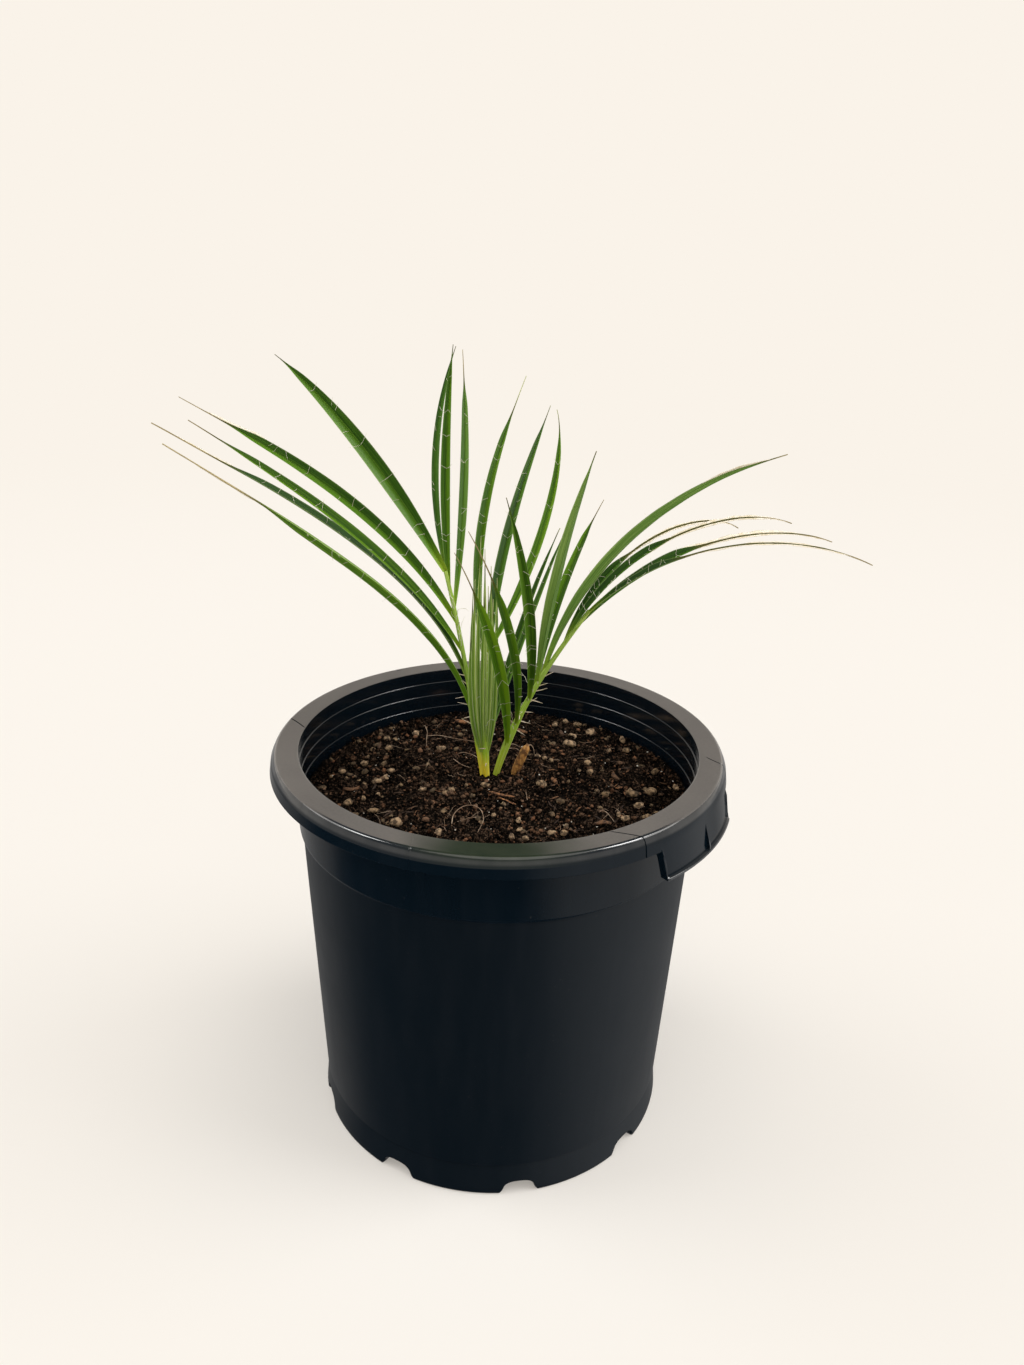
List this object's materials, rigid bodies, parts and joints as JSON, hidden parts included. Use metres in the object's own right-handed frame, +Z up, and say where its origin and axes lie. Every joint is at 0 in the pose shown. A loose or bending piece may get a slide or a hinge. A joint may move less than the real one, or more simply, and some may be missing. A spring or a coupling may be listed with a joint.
{
  "type": "potted palm",
  "caption": "Young feather palm with arching narrow leaflets, growing in a round black nursery pot with finger grips, filled with potting mix",
  "frame": {"origin": "Centre of the pot's base, on the surface that it stands on", "axes": "+Z up along the pot's axis; the two finger grips lie on +X and -X; -Y is the side that the plant's open face turns to"},
  "size_m": [0.3475, 0.253, 0.4381],
  "materials": {
    "pot_plastic": "satin moulded",
    "potting_mix": "rough, crumbly, moist",
    "leaf_green": "waxy leaf",
    "young_green": "waxy young leaf",
    "dry_sheath": "dry fibrous"
  },
  "bodies": {
    "root": {"pot": "pot_plastic", "soil": "potting_mix", "frond_left": "leaf_green", "frond_right": "leaf_green", "spear": "young_green", "dead_sheath": "dry_sheath"}
  },
  "joints": []
}
